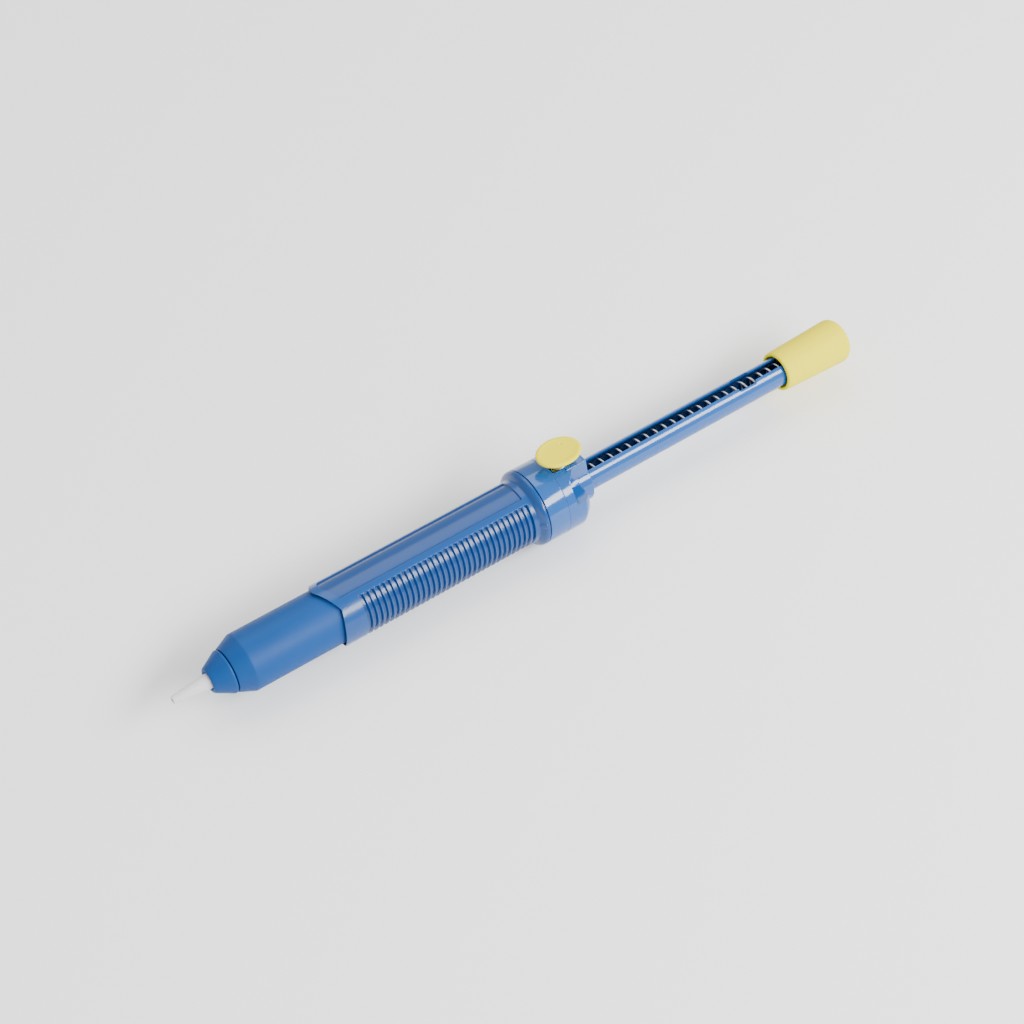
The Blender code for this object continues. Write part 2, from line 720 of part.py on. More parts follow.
def make_knob(slide):
    """The loading knob on the tube's end and the seat for the spring inside it."""
    mouth = TUBE_RADIUS + KNOB_MOUTH_GAP
    socket = TUBE_RADIUS + GAP
    turned(
        "knob",
        [
            (KNOB_X, mouth),
            (KNOB_X, KNOB_FRONT_RADIUS - 0.9),
            (KNOB_X + 0.3, KNOB_FRONT_RADIUS - 0.3),
            (KNOB_X + 1.0, KNOB_FRONT_RADIUS),
            (KNOB_END_X - 1.6, KNOB_REAR_RADIUS),
            (KNOB_END_X - 0.8, KNOB_REAR_RADIUS - 0.25),
            (KNOB_END_X - 0.25, KNOB_REAR_RADIUS - 0.9),
            (KNOB_END_X, KNOB_REAR_RADIUS - 2.0),
            (KNOB_END_X, 0),
            (KNOB_END_X - KNOB_END_WALL, 0),
            (KNOB_END_X - KNOB_END_WALL, socket),
            (KNOB_X + 2.0, socket),
            (KNOB_X + 2.0, mouth),
        ],
        slide, yellow,
    )
    turned(
        "spring_seat",
        [
            (SEAT_X - SEAT_NOSE_LENGTH, 0),
            (SEAT_X - SEAT_NOSE_LENGTH, SEAT_NOSE_RADIUS - 0.3),
            (SEAT_X - SEAT_NOSE_LENGTH + 0.5, SEAT_NOSE_RADIUS),
            (SEAT_X, SEAT_NOSE_RADIUS),
            (SEAT_X, TUBE_RADIUS),
            (SEAT_REAR_X, TUBE_RADIUS),
            (SEAT_REAR_X, 0),
        ],
        slide, white_nylon, SMALL_STEPS,
    )


for old in list(bpy.data.objects):
    bpy.data.objects.remove(old, do_unlink=True)

parts = new_collection("desoldering_pump")
cutters = new_collection("cutters")
cutters.hide_render = True

blue_satin = new_material("blue_satin", (0.085, 0.235, 0.49), 0.42)
blue_gloss = new_material("blue_gloss", (0.095, 0.26, 0.52), 0.25)
yellow = new_material("yellow_plastic", (0.80, 0.72, 0.15), 0.4)
ptfe = new_material("ptfe_white", (0.82, 0.82, 0.80), 0.45)
white_nylon = new_material("white_nylon", (0.75, 0.74, 0.70), 0.5)
black_rubber = new_material("black_rubber", (0.02, 0.02, 0.02), 0.75)
steel = new_material("spring_steel", (0.55, 0.56, 0.58), 0.3, 1.0)

housing = new_empty("housing", (0, 0, COLLAR_RADIUS))
plunger_slide = new_empty("plunger_slide", (0, 0, COLLAR_RADIUS))
button_slide = new_empty("button_slide", (BUTTON_X, 0, COLLAR_RADIUS))

make_nozzle(housing)
make_barrel(housing)
make_grip(housing)
make_rear_cap(housing)
make_main_spring(housing)
make_button(housing, button_slide)
make_plunger(plunger_slide)
make_knob(plunger_slide)

for piece in parts.objects:
    if piece.type == "MESH":
        piece.data.shade_smooth()
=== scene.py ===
from math import cos, degrees, pi, radians, sin

import bmesh
import bpy
import numpy as np
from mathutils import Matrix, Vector


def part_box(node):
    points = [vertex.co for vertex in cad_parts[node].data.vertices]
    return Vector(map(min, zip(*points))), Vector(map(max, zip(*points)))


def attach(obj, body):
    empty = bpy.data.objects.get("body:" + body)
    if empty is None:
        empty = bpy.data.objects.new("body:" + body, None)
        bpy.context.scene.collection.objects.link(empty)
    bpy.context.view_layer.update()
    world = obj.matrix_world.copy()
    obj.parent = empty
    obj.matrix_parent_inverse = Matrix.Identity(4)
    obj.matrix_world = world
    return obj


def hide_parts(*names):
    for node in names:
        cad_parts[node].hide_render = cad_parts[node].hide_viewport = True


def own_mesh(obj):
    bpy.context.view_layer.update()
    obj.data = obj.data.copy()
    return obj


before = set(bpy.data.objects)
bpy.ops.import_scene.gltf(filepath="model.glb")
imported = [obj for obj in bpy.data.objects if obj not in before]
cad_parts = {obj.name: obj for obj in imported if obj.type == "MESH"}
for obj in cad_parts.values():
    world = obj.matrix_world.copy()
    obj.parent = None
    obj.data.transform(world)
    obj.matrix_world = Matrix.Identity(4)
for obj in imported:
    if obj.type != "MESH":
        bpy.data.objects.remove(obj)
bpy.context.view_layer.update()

# Nozzle tip. A small tapered tube turned from milky PTFE, which molten solder doesn't
# stick to. Its flange is clamped inside the nozzle cap, and its end is slightly eased.
MM = 0.001
AXIS_Z = (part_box("barrel")[0].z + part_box("barrel")[1].z) / 2 / MM
ROUND = np.radians(np.arange(0, 360, 2.0))
PTFE_WHITE = (0.60, 0.60, 0.62)


def cad(node):
    """The two corners of a node's box in the model, in millimetres."""
    return [np.array(corner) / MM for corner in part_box(node)]


def rounded(corners, steps=6):
    """An outline with its corners eased.

    A corner is (along, across, ease). Its points are the corner plus ease times
    (1 - s) squared along one side and s squared along the other, for s from 0 to 1: a
    parabola that leaves each side smoothly. Points that coincide are kept once.
    """
    corner = np.array(corners, float)
    tip, ease = corner[:, :2], corner[:, 2]
    before = np.roll(tip, 1, 0) - tip
    after = np.roll(tip, -1, 0) - tip
    before /= np.linalg.norm(before, axis=1)[:, None]
    after /= np.linalg.norm(after, axis=1)[:, None]
    s = np.linspace(0, 1, steps)[:, None, None]
    arcs = tip + ease[:, None] * ((1 - s) ** 2 * before + s**2 * after)
    points = arcs.transpose(1, 0, 2).reshape(-1, 2)
    apart = np.linalg.norm(points - np.roll(points, 1, 0), axis=1)
    return points[apart > 1e-6]


def turned(outline, angles=ROUND):
    """Outline points (x, r) carried round the pump's axis.

    With a measured from straight up towards -Y: y = -r sin a, z = axis + r cos a.
    """
    x, r = outline[:, 0, None], outline[:, 1, None]
    return np.stack([x + 0 * angles, -r * np.sin(angles), AXIS_Z + r * np.cos(angles)], -1)


def surface(name, grid, ring=True, tube=True, sharp=38, marks=None):
    """A closed mesh from a grid of points, in millimetres, rows by columns.

    ring joins the last row to the first, and tube the last column to the first. Points
    that coincide, as at a pole, become one. marks are named values at the points.
    """
    rows, columns = grid.shape[:2]
    index = np.arange(rows * columns).reshape(rows, columns)
    if tube:
        index = np.hstack([index, index[:, :1]])
    if ring:
        index = np.vstack([index, index[:1]])
    quads = np.stack([index[:-1, :-1], index[1:, :-1], index[1:, 1:], index[:-1, 1:]], -1)
    mesh = bpy.data.meshes.new(name)
    mesh.from_pydata((grid.reshape(-1, 3) * MM).tolist(), [], quads.reshape(-1, 4).tolist())
    for mark, values in (marks or {}).items():
        layer = mesh.attributes.new(mark, "FLOAT", "POINT")
        layer.data.foreach_set("value", np.ravel(values).astype(np.float32))
    shape = bmesh.new()
    shape.from_mesh(mesh)
    bmesh.ops.remove_doubles(shape, verts=shape.verts, dist=1e-7)
    bmesh.ops.recalc_face_normals(shape, faces=shape.faces)
    shape.to_mesh(mesh)
    shape.free()
    mesh.shade_smooth()
    mesh.set_sharp_from_angle(angle=radians(sharp))
    piece = bpy.data.objects.new(name, mesh)
    bpy.context.scene.collection.objects.link(piece)
    return piece


def shader_group(name, inputs, outputs):
    """An empty node group with float and colour sockets. Returns it with its two ends."""
    tree = bpy.data.node_groups.new(name, "ShaderNodeTree")
    for socket, default in inputs:
        kind = "NodeSocketColor" if isinstance(default, tuple) else "NodeSocketFloat"
        tree.interface.new_socket(socket, in_out="INPUT", socket_type=kind).default_value = default
    for socket, kind in outputs:
        tree.interface.new_socket(socket, in_out="OUTPUT", socket_type=kind)
    return tree, tree.nodes.new("NodeGroupInput"), tree.nodes.new("NodeGroupOutput")


def add_noise(tree, scale, detail=2.0, stretch=(1, 1, 1)):
    """Noise on Object coordinates. scale is in features per metre."""
    where = tree.nodes.new("ShaderNodeTexCoord")
    mapping = tree.nodes.new("ShaderNodeMapping")
    mapping.inputs["Scale"].default_value = stretch
    noise = tree.nodes.new("ShaderNodeTexNoise")
    noise.inputs["Scale"].default_value = scale
    noise.inputs["Detail"].default_value = detail
    tree.links.new(where.outputs["Object"], mapping.inputs["Vector"])
    tree.links.new(mapping.outputs["Vector"], noise.inputs["Vector"])
    return noise.outputs["Fac"]


def add_math(tree, operation, first, second=0.0, clamp=False):
    """One Math node. Each of its two values is a socket or a number."""
    node = tree.nodes.new("ShaderNodeMath")
    node.operation = operation
    node.use_clamp = clamp
    for socket, value in zip(node.inputs, (first, second)):
        if isinstance(value, (int, float)):
            socket.default_value = value
        else:
            tree.links.new(value, socket)
    return node.outputs["Value"]


def add_mix(tree, factor, first, second, blend="MIX"):
    """One colour Mix node. The factor and both colours are sockets or plain values."""
    node = tree.nodes.new("ShaderNodeMix")
    node.data_type = "RGBA"
    node.blend_type = blend
    for socket, value in zip((node.inputs[0], node.inputs[6], node.inputs[7]), (factor, first, second)):
        if isinstance(value, bpy.types.NodeSocket):
            tree.links.new(value, socket)
        else:
            socket.default_value = value
    return node.outputs[2]


def make_moulded_group():
    """Moulded plastic or rubber: soft colour mottle, uneven gloss and fine orange peel."""
    tree, source, sink = shader_group(
        "moulded_surface",
        [("Colour", (0.5, 0.5, 0.5, 1)), ("Mottle", 0.06), ("Gloss", 0.4), ("Unevenness", 0.12)],
        [("Colour", "NodeSocketColor"), ("Roughness", "NodeSocketFloat"), ("Height", "NodeSocketFloat")],
    )
    cloud = add_noise(tree, 70, 3)
    flow = add_noise(tree, 260, 3, (0.12, 1, 1))
    peel = add_noise(tree, 1900, 2)
    scuff = add_noise(tree, 900, 4, (0.25, 1, 1))
    swing = add_math(tree, "SUBTRACT", add_math(tree, "ADD", cloud, flow), 1.0)
    value = add_math(tree, "ADD", 1.0, add_math(tree, "MULTIPLY", swing, source.outputs["Mottle"]))
    shade = tree.nodes.new("ShaderNodeHueSaturation")
    tree.links.new(source.outputs["Colour"], shade.inputs["Color"])
    tree.links.new(value, shade.inputs["Value"])
    spread = add_math(tree, "SUBTRACT", add_math(tree, "ADD", scuff, cloud), 1.0)
    rough = add_math(tree, "MULTIPLY", spread, source.outputs["Unevenness"])
    rough = add_math(tree, "ADD", rough, source.outputs["Gloss"], clamp=True)
    height = add_math(tree, "ADD", peel, add_math(tree, "MULTIPLY", flow, 0.8))
    tree.links.new(shade.outputs["Color"], sink.inputs["Colour"])
    tree.links.new(rough, sink.inputs["Roughness"])
    tree.links.new(height, sink.inputs["Height"])
    return tree


moulded_surface = make_moulded_group()


def moulded(name, colour, gloss, mottle=0.06, unevenness=0.12, peel=0.10, ior=1.5, specular=0.35):
    """A moulded material: the shared group feeds a Principled shader and its bump."""
    material = bpy.data.materials.new(name)
    material.use_nodes = True
    tree = material.node_tree
    shader = tree.nodes["Principled BSDF"]
    shader.inputs["IOR"].default_value = ior
    shader.inputs["Specular IOR Level"].default_value = specular
    look = tree.nodes.new("ShaderNodeGroup")
    look.node_tree = moulded_surface
    look.name = "look"
    look.inputs["Colour"].default_value = (*colour, 1)
    look.inputs["Mottle"].default_value = mottle
    look.inputs["Gloss"].default_value = gloss
    look.inputs["Unevenness"].default_value = unevenness
    bump = tree.nodes.new("ShaderNodeBump")
    bump.name = "bump"
    bump.inputs["Strength"].default_value = peel
    bump.inputs["Distance"].default_value = 0.0002
    tree.links.new(look.outputs["Height"], bump.inputs["Height"])
    tree.links.new(look.outputs["Colour"], shader.inputs["Base Color"])
    tree.links.new(look.outputs["Roughness"], shader.inputs["Roughness"])
    tree.links.new(bump.outputs["Normal"], shader.inputs["Normal"])
    return material


def place(piece, material, body, slot, *nodes):
    """Gives a piece its material and says what it rides on and stands for."""
    piece.data.materials.clear()
    piece.data.materials.append(material)
    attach(piece, body)
    if nodes:
        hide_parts(*nodes)


ptfe = moulded("milky_ptfe", PTFE_WHITE, 0.38, mottle=0.05, peel=0.25, ior=1.38)
ptfe.node_tree.nodes["Principled BSDF"].inputs["Subsurface Weight"].default_value = 0.35
ptfe.node_tree.nodes["Principled BSDF"].inputs["Subsurface Scale"].default_value = 0.0015

tip_low, tip_high = cad("nozzle_tip")
cap_low, cap_high = cad("nozzle_cap")
tip_flange = tip_high[2] - AXIS_Z
nozzle_tip = surface("tip_of_nozzle", turned(rounded([
    (tip_low[0], 0.66, 0.08),
    (tip_low[0], 1.27, 0.12),
    (tip_low[0] + 0.9, 1.36, 0.2),
    (cap_low[0] - 0.3, 2.40, 0.2),
    (cap_low[0] + 1.9, 2.45, 0.05),
    (cap_low[0] + 1.9, tip_flange, 0.1),
    (cap_low[0] + 3.1, tip_flange, 0.1),
    (cap_low[0] + 3.1, 2.2, 0.05),
    (tip_high[0], 2.2, 0.1),
    (tip_high[0], 1.5, 0.1),
    (cap_low[0], 1.2, 0.3),
])))
place(nozzle_tip, ptfe, "housing", "nozzle_ptfe", "nozzle_tip")

# Nozzle cap. The front cone, moulded in satin blue plastic like the barrel behind it. It
# screws on over the nozzle's flange, and a fine seam shows where it meets the barrel.
SATIN_BLUE = (0.002, 0.050, 0.200)
satin_blue = moulded("satin_blue_plastic", SATIN_BLUE, 0.50, mottle=0.14, peel=0.14, specular=0.2)
nozzle_cap = surface("front_cone", turned(rounded([
    (cap_low[0] + 0.6, 2.72, 0.2),
    (cap_low[0], 3.05, 0.18),
    (cap_low[0], 3.45, 0.18),
    (cap_low[0] + 0.3, 4.05, 0.3),
    (cap_low[0] + 1.1, 4.48, 0.4),
    (cap_high[0] - 0.5, 7.05, 0.3),
    (cap_high[0], 6.85, 0.15),
    (cap_high[0], 5.3, 0.1),
    (cap_high[0] - 1.9, 5.3, 0.1),
    (cap_high[0] - 1.9, 4.0, 0.1),
    (cap_low[0] + 1.6, 4.0, 0.1),
    (cap_low[0] + 1.6, 2.72, 0.1),
])))
place(nozzle_cap, satin_blue, "housing", "body_plastic", "nozzle_cap")

# Barrel. The vacuum cylinder that the piston runs in: a plain tube that narrows to a cone
# in front and slides into the grip sleeve behind. Its bore is smooth.
barrel_low, barrel_high = cad("barrel")
barrel_radius = barrel_high[2] - AXIS_Z
BORE_RADIUS = 8.2
CONE_LENGTH = 5.0
cone_front = cap_high[0] + 0.3
cone_rear = cone_front + CONE_LENGTH
barrel = surface("vacuum_barrel", turned(rounded([
    (barrel_low[0], 2.8, 0.1),
    (barrel_low[0], 5.0, 0.1),
    (cone_front, 5.0, 0.1),
    (cone_front, 6.95, 0.08),
    (cone_front + 0.25, 7.15, 0.12),
    (cone_rear, barrel_radius, 0.4),
    (barrel_high[0], barrel_radius, 0.1),
    (barrel_high[0], BORE_RADIUS, 0.1),
    (cone_rear + 1.4, BORE_RADIUS, 0.3),
    (cone_front + 2.0, 2.8, 0.3),
])))
place(barrel, satin_blue, "housing", "body_plastic", "barrel")

# Grip sleeve. A thin moulded sleeve that slides over the barrel: a tongue reaches forward
# on top, a shallow label panel is sunk behind it, and moulded grooves run round both
# sides to the flange that the rear cap closes against. Angles are from straight up.
grip_low, grip_high = cad("grip_sleeve")
GRIP_RADIUS = 10.5
GRIP_BORE = 9.6
FLANGE_RADIUS = grip_high[2] - AXIS_Z
TONGUE_REACH = 4.2
TONGUE_HALF = radians(58)
TONGUE_TURN = radians(-20)
SKIRT_REACH = 1.3  # how far the edge comes forward again past the tongue's corners
SKIRT_SPAN = radians(108)
PANEL_HALF = radians(28)
PANEL_TURN = radians(-9)
PANEL_DEPTH = 0.5
PANEL_MARGIN = 2.9
GROOVES = 32
GROOVE_PITCH = 1.87
GROOVE_FIRST = -66.3
GROOVE_DEPTH = 0.8
GROOVE_START = radians(42)  # from the panel's middle
GROOVE_END = radians(159)
RELIEF_X = -6.3  # the deeper groove in front of the flange
DOT_X = -3.35  # a small raised dot on the flange
DOT_ANGLE = radians(76)
DOT_RADIUS = 0.85
DOT_RISE = 0.35


def step(value, start, width):
    """0 before start, 1 after start + width, and smooth between."""
    t = np.clip((value - start) / width, 0, 1)
    return t * t * (3 - 2 * t)


def band(value, start, end, width):
    """1 between start and end, falling to 0 over width outside them."""
    return step(value, start - width, width) * (1 - step(value, end, width))


tongue_x = grip_low[0]
seam_x = grip_high[0]
panel_end = RELIEF_X
sides = np.array([-GROOVE_END, -GROOVE_START, -PANEL_HALF, PANEL_HALF, GROOVE_START, GROOVE_END])
fine = (np.degrees(sides + PANEL_TURN)[:, None] + np.linspace(-2.0, 2.0, 11)).ravel()
corners_at = np.degrees(TONGUE_TURN + np.array([-1, 1]) * TONGUE_HALF)
dot_at = degrees(DOT_ANGLE) + np.linspace(-6, 6, 13)
grip_angles = np.unique(np.round(np.concatenate([
    np.arange(-180, 180, 2.0), (fine + 180) % 360 - 180, corners_at, dot_at,
]), 2))
grip_angles = np.radians(grip_angles)

groove_shape = np.array([-0.93, -0.76, -0.64, -0.52, -0.38, 0.0, 0.38, 0.52, 0.64, 0.76])
groove_x = (GROOVE_FIRST + GROOVE_PITCH * np.arange(GROOVES)[:, None] + groove_shape).ravel()
margin_x = tongue_x + PANEL_MARGIN
outer_x = np.unique(np.round(np.concatenate([
    tongue_x + np.array([0.5, 1.2, 2.0, 2.5]),
    margin_x + np.linspace(-0.1, 0.5, 7),
    margin_x + np.array([0.9, 1.6, 2.6, 3.6, 4.6, 5.6, 6.6, 7.6]),
    groove_x,
    RELIEF_X + np.linspace(-0.9, 0.9, 13),
]), 3))
# The rim's first three corners have six points each, and the last two only close it.
front_rim = rounded([
    (tongue_x + 1.6, GRIP_BORE, 0.3), (tongue_x, GRIP_RADIUS - 0.28, 0.08),
    (tongue_x, GRIP_RADIUS, 0.12), (tongue_x + 9, GRIP_RADIUS, 0), (tongue_x + 9, GRIP_BORE, 0),
])[:18]
flange = rounded([
    (-4.9, GRIP_RADIUS, 0), (-4.1, GRIP_RADIUS, 0.4), (-3.15, 12.0, 0.5),
    (-2.35, FLANGE_RADIUS, 0.6), (seam_x, FLANGE_RADIUS, 0.2), (seam_x, GRIP_BORE, 0.1),
], 9)
outer = np.stack([outer_x, np.full_like(outer_x, GRIP_RADIUS)], -1)
sleeve_outline = np.vstack([front_rim, outer, flange[1:]])
row_x = sleeve_outline[:, 0, None]
on_top = (sleeve_outline[:, 1, None] > GRIP_RADIUS - 0.01) & (row_x < seam_x - 0.05)

# The front edge reaches forward over the tongue and a little again below each of its
# corners. The rows behind it follow it until the grooves begin.
from_middle = np.abs((grip_angles - TONGUE_TURN + pi) % (2 * pi) - pi) / TONGUE_HALF
edge_back = TONGUE_REACH * np.clip((from_middle - 0.12) / 0.88, 0, 1)
past_corner = np.clip((from_middle - 1) * TONGUE_HALF / SKIRT_SPAN, 0, 1)
edge_back = edge_back - SKIRT_REACH * np.sin(pi * past_corner)
follow = 1 - np.clip((row_x - tongue_x - 3.4) / 5.0, 0, 1)
sleeve_x = row_x + follow * edge_back

round_panel = (grip_angles - PANEL_TURN + pi) % (2 * pi) - pi
wall = 0.25 / GRIP_RADIUS
panel = band(row_x, margin_x + 0.25, panel_end, 0.25) * band(round_panel, -PANEL_HALF, PANEL_HALF, wall)
groove_zone = band(np.abs(round_panel), GROOVE_START, GROOVE_END, 1.6 * wall)
phase = (row_x - GROOVE_FIRST + GROOVE_PITCH / 2) % GROOVE_PITCH - GROOVE_PITCH / 2
last_groove = GROOVE_FIRST + GROOVE_PITCH * (GROOVES - 0.5)
in_grooves = (row_x > GROOVE_FIRST - GROOVE_PITCH / 2) & (row_x < last_groove)
grooves = in_grooves * band(phase, -0.34, 0.34, 0.44) * groove_zone
relief = band(row_x, RELIEF_X - 0.35, RELIEF_X + 0.35, 0.3) * groove_zone
dot_far = np.hypot(row_x - DOT_X, (grip_angles - DOT_ANGLE) * (GRIP_RADIUS + 1.2))
dot = band(dot_far, -1, DOT_RADIUS - 0.15, 0.2)
lift = on_top * (
    -PANEL_DEPTH * panel - GROOVE_DEPTH * np.maximum(grooves, 1.1 * relief)
    + DOT_RISE * dot * (row_x > -5)
)
radius = sleeve_outline[:, 1, None] + lift
sleeve_points = np.stack([
    sleeve_x, -radius * np.sin(grip_angles), AXIS_Z + radius * np.cos(grip_angles),
], -1)
# The hollow mark is painted shade. It darkens the grooves, the relief groove and the sunk panel, and
# most of all the crease along the panel's wall.
grip_sleeve = surface(
    "ribbed_grip", sleeve_points, sharp=50,
    marks={"hollow_shade": np.clip(-0.5 * lift / GROOVE_DEPTH + 4 * panel * (1 - panel), 0, 1)},
)

grip_blue = moulded("grip_blue_plastic", SATIN_BLUE, 0.20, mottle=0.12, peel=0.10, specular=0.42)


def paint_shade_in_hollows(material, mark, darkest):
    """Paints shade into the colour: darkens it towards darkest where the named mark on the points is 1.
    """
    tree = material.node_tree
    shader = tree.nodes["Principled BSDF"]
    layer = tree.nodes.new("ShaderNodeAttribute")
    layer.attribute_name = mark
    colour = tree.nodes["look"].outputs["Colour"]
    dark = add_mix(tree, 1.0, colour, (*darkest, 1), "MULTIPLY")
    tree.links.new(add_mix(tree, layer.outputs["Fac"], colour, dark), shader.inputs["Base Color"])


# The colour that the painted shade in the grip's grooves and panel darkens towards.
paint_shade_in_hollows(grip_blue, "hollow_shade", (0.40, 0.46, 0.55))
place(grip_sleeve, grip_blue, "housing", "body_plastic", "grip_sleeve")

# Rear cap. The glossy collar that closes the barrel, with the round boss that guides the
# plunger's tube and a block over it for the latch. Its front spigot fits in the barrel,
# and the button's stem goes down through the pocket on top.
collar_low, collar_high = cad("rear_cap")
CAP_FRONT = seam_x + 0.3
COLLAR_REAR = CAP_FRONT + 16.0
BOSS_END = collar_high[0]
COLLAR_RADIUS = FLANGE_RADIUS
BEVEL_LENGTH = 2.1
BEVEL_DEPTH = 1.6
SPIGOT_RADIUS = 7.9
BOSS_RADIUS = 7.07
GUIDE_RADIUS = 5.3
BUSH_SEAT = 6.5
BUSH_END = 4.3
WITNESS_X = 5.9  # a fine mould line round the collar
BLOCK_HALF = 4.1
BLOCK_TOP = 12.6
BLOCK_BOTTOM = 5.5
BLOCK_LEAN = 1.1
RELIEF_LENGTH = 5.5  # of the two steps cut beside the block
RELIEF_FLARE = 3.4
RELIEF_FLOOR = 4.7
POCKET = (CAP_FRONT + 7.8, CAP_FRONT + 15.7)  # for the button's spring
POCKET_HALF = 2.6
POCKET_FLOOR = 7.0
STEM_HOLE = 1.9
ANCHOR_GAP = 0.3
BUTTON_X = float(sum(cad("latch_screw")[i][0] for i in (0, 1)) / 2)


def lofted(outline, levels):
    """A closed solid: a flat outline (u, v) carried along w, one row for each level.

    A level is (w, inset): the outline is drawn in towards its middle by the inset. A
    point at the middle closes each end.
    """
    middle = (outline.max(0) + outline.min(0)) / 2
    half = (outline.max(0) - outline.min(0)) / 2
    w, inset = np.array(levels, float).T
    shrink = 1 - inset[:, None, None] / half
    rows = middle + (outline - middle) * shrink
    rows = np.concatenate([rows[:1] * 0 + middle, rows, rows[:1] * 0 + middle])
    w = np.concatenate([w[:1], w, w[-1:]])
    return np.concatenate([rows, np.broadcast_to(w[:, None, None], (*rows.shape[:2], 1))], -1)


def boolean(piece, other, operation):
    """Joins or cuts one piece with another, keeps the result and removes the other."""
    change = piece.modifiers.new("change", "BOOLEAN")
    change.operation = operation
    change.object = other
    shaped = piece.evaluated_get(bpy.context.evaluated_depsgraph_get())
    mesh = bpy.data.meshes.new_from_object(shaped)
    piece.modifiers.clear()
    old = piece.data
    piece.data = mesh
    bpy.data.meshes.remove(old)
    bpy.data.objects.remove(other, do_unlink=True)


rear_cap = surface("rear_collar", turned(rounded([
    (collar_low[0], BUSH_SEAT, 0.1),
    (collar_low[0], SPIGOT_RADIUS, 0.2),
    (CAP_FRONT, SPIGOT_RADIUS, 0.1),
    (CAP_FRONT, COLLAR_RADIUS, 0.22),
    (WITNESS_X - 0.16, COLLAR_RADIUS, 0.05),
    (WITNESS_X, COLLAR_RADIUS - 0.14, 0.06),
    (WITNESS_X + 0.16, COLLAR_RADIUS, 0.05),
    (COLLAR_REAR - RELIEF_LENGTH, COLLAR_RADIUS, 0.3),
    (COLLAR_REAR - BEVEL_LENGTH, COLLAR_RADIUS, 0.6),
    (COLLAR_REAR, COLLAR_RADIUS - BEVEL_DEPTH, 0.3),
    (COLLAR_REAR, BOSS_RADIUS, 0.35),
    (BOSS_END, BOSS_RADIUS, 0.35),
    (BOSS_END, GUIDE_RADIUS, 0.15),
    (BUSH_END, GUIDE_RADIUS, 0.1),
    (BUSH_END, BUSH_SEAT, 0.1),
])))
block_rear = COLLAR_REAR + 4.6
block_outline = rounded([
    (-BLOCK_HALF, BLOCK_BOTTOM, 0.1), (-BLOCK_HALF, BLOCK_TOP, 0.55),
    (BLOCK_HALF, BLOCK_TOP, 0.55), (BLOCK_HALF, BLOCK_BOTTOM, 0.1),
], 8)
block_points = lofted(block_outline, [
    (COLLAR_REAR - 4, 0), (block_rear - 0.6, 0), (block_rear - 0.3, 0.05),
    (block_rear - 0.1, 0.18), (block_rear, 0.4),
])
across, up, along = block_points.transpose(2, 0, 1)
lean = BLOCK_LEAN * (up - BLOCK_BOTTOM) / (BLOCK_TOP - BLOCK_BOTTOM)
along = along - lean * step(along, COLLAR_REAR - 1.5, block_rear + 0.9 - COLLAR_REAR)
block = surface("block", np.stack([along, across, up + AXIS_Z], -1), ring=False)


def upright(outline, levels):
    """A lofted solid that stands up: the outline is in (x, y) and levels are heights."""
    return lofted(outline, [(height + AXIS_Z, inset) for height, inset in levels])


relief_front = COLLAR_REAR - RELIEF_LENGTH
relief_inner = BLOCK_HALF - 0.35
for side in (-1, 1):
    relief_outline = rounded([
        (relief_front, side * (relief_inner + RELIEF_FLARE), 0.4),
        (COLLAR_REAR - 1.8, side * relief_inner, 0.4),
        (COLLAR_REAR + 1, side * relief_inner, 0),
        (COLLAR_REAR + 1, side * (COLLAR_RADIUS + 1), 0),
        (relief_front, side * (COLLAR_RADIUS + 1), 0),
    ])
    step_cutter = surface("relief", upright(
        relief_outline, [(RELIEF_FLOOR, 0), (COLLAR_RADIUS + 1, 0)]), ring=False)
    boolean(step_cutter, surface("boss_core", turned(np.array([
        (relief_front - 1, 0), (relief_front - 1, BOSS_RADIUS + 0.05),
        (COLLAR_REAR + 2, BOSS_RADIUS + 0.05), (COLLAR_REAR + 2, 0),
    ])), ring=False), "DIFFERENCE")
    boolean(rear_cap, step_cutter, "DIFFERENCE")
boolean(rear_cap, block, "UNION")

pocket_outline = rounded([
    (POCKET[0], -POCKET_HALF, 0.5), (POCKET[0], POCKET_HALF, 0.5),
    (POCKET[1], POCKET_HALF, 0.5), (POCKET[1], -POCKET_HALF, 0.5),
])
turn = np.radians(np.arange(0, 360, 9.0))
stem_outline = STEM_HOLE * np.stack([np.cos(turn), np.sin(turn)], -1) + (BUTTON_X, 0)
boolean(rear_cap, surface("pocket", upright(
    pocket_outline, [(POCKET_FLOOR, 0), (COLLAR_RADIUS + 1, 0)]), ring=False), "DIFFERENCE")
boolean(rear_cap, surface("stem_hole", upright(
    stem_outline, [(3, 0), (POCKET_FLOOR + 1, 0)]), ring=False), "DIFFERENCE")
anchor_low, anchor_high = cad("spring_anchor")
anchor_front, anchor_near = anchor_low[:2] - ANCHOR_GAP
anchor_rear, anchor_far = anchor_high[:2] + ANCHOR_GAP
anchor_outline = rounded([
    (anchor_front, anchor_near, 0.1), (anchor_front, anchor_far, 0.1),
    (anchor_rear, anchor_far, 0.1), (anchor_rear, anchor_near, 0.1),
])
boolean(rear_cap, surface("anchor_slot", upright(
    anchor_outline, [(3, 0), (anchor_high[2] - AXIS_Z + ANCHOR_GAP, 0)]), ring=False), "DIFFERENCE")
rear_cap.data.shade_smooth()
rear_cap.data.set_sharp_from_angle(angle=radians(33))

GLOSS_BLUE = (0.003, 0.072, 0.275)
gloss_blue = moulded(
    "gloss_blue_plastic", GLOSS_BLUE, 0.11, mottle=0.07, unevenness=0.05, peel=0.04, specular=0.7,
)
place(rear_cap, gloss_blue, "housing", "cap_plastic", "rear_cap")

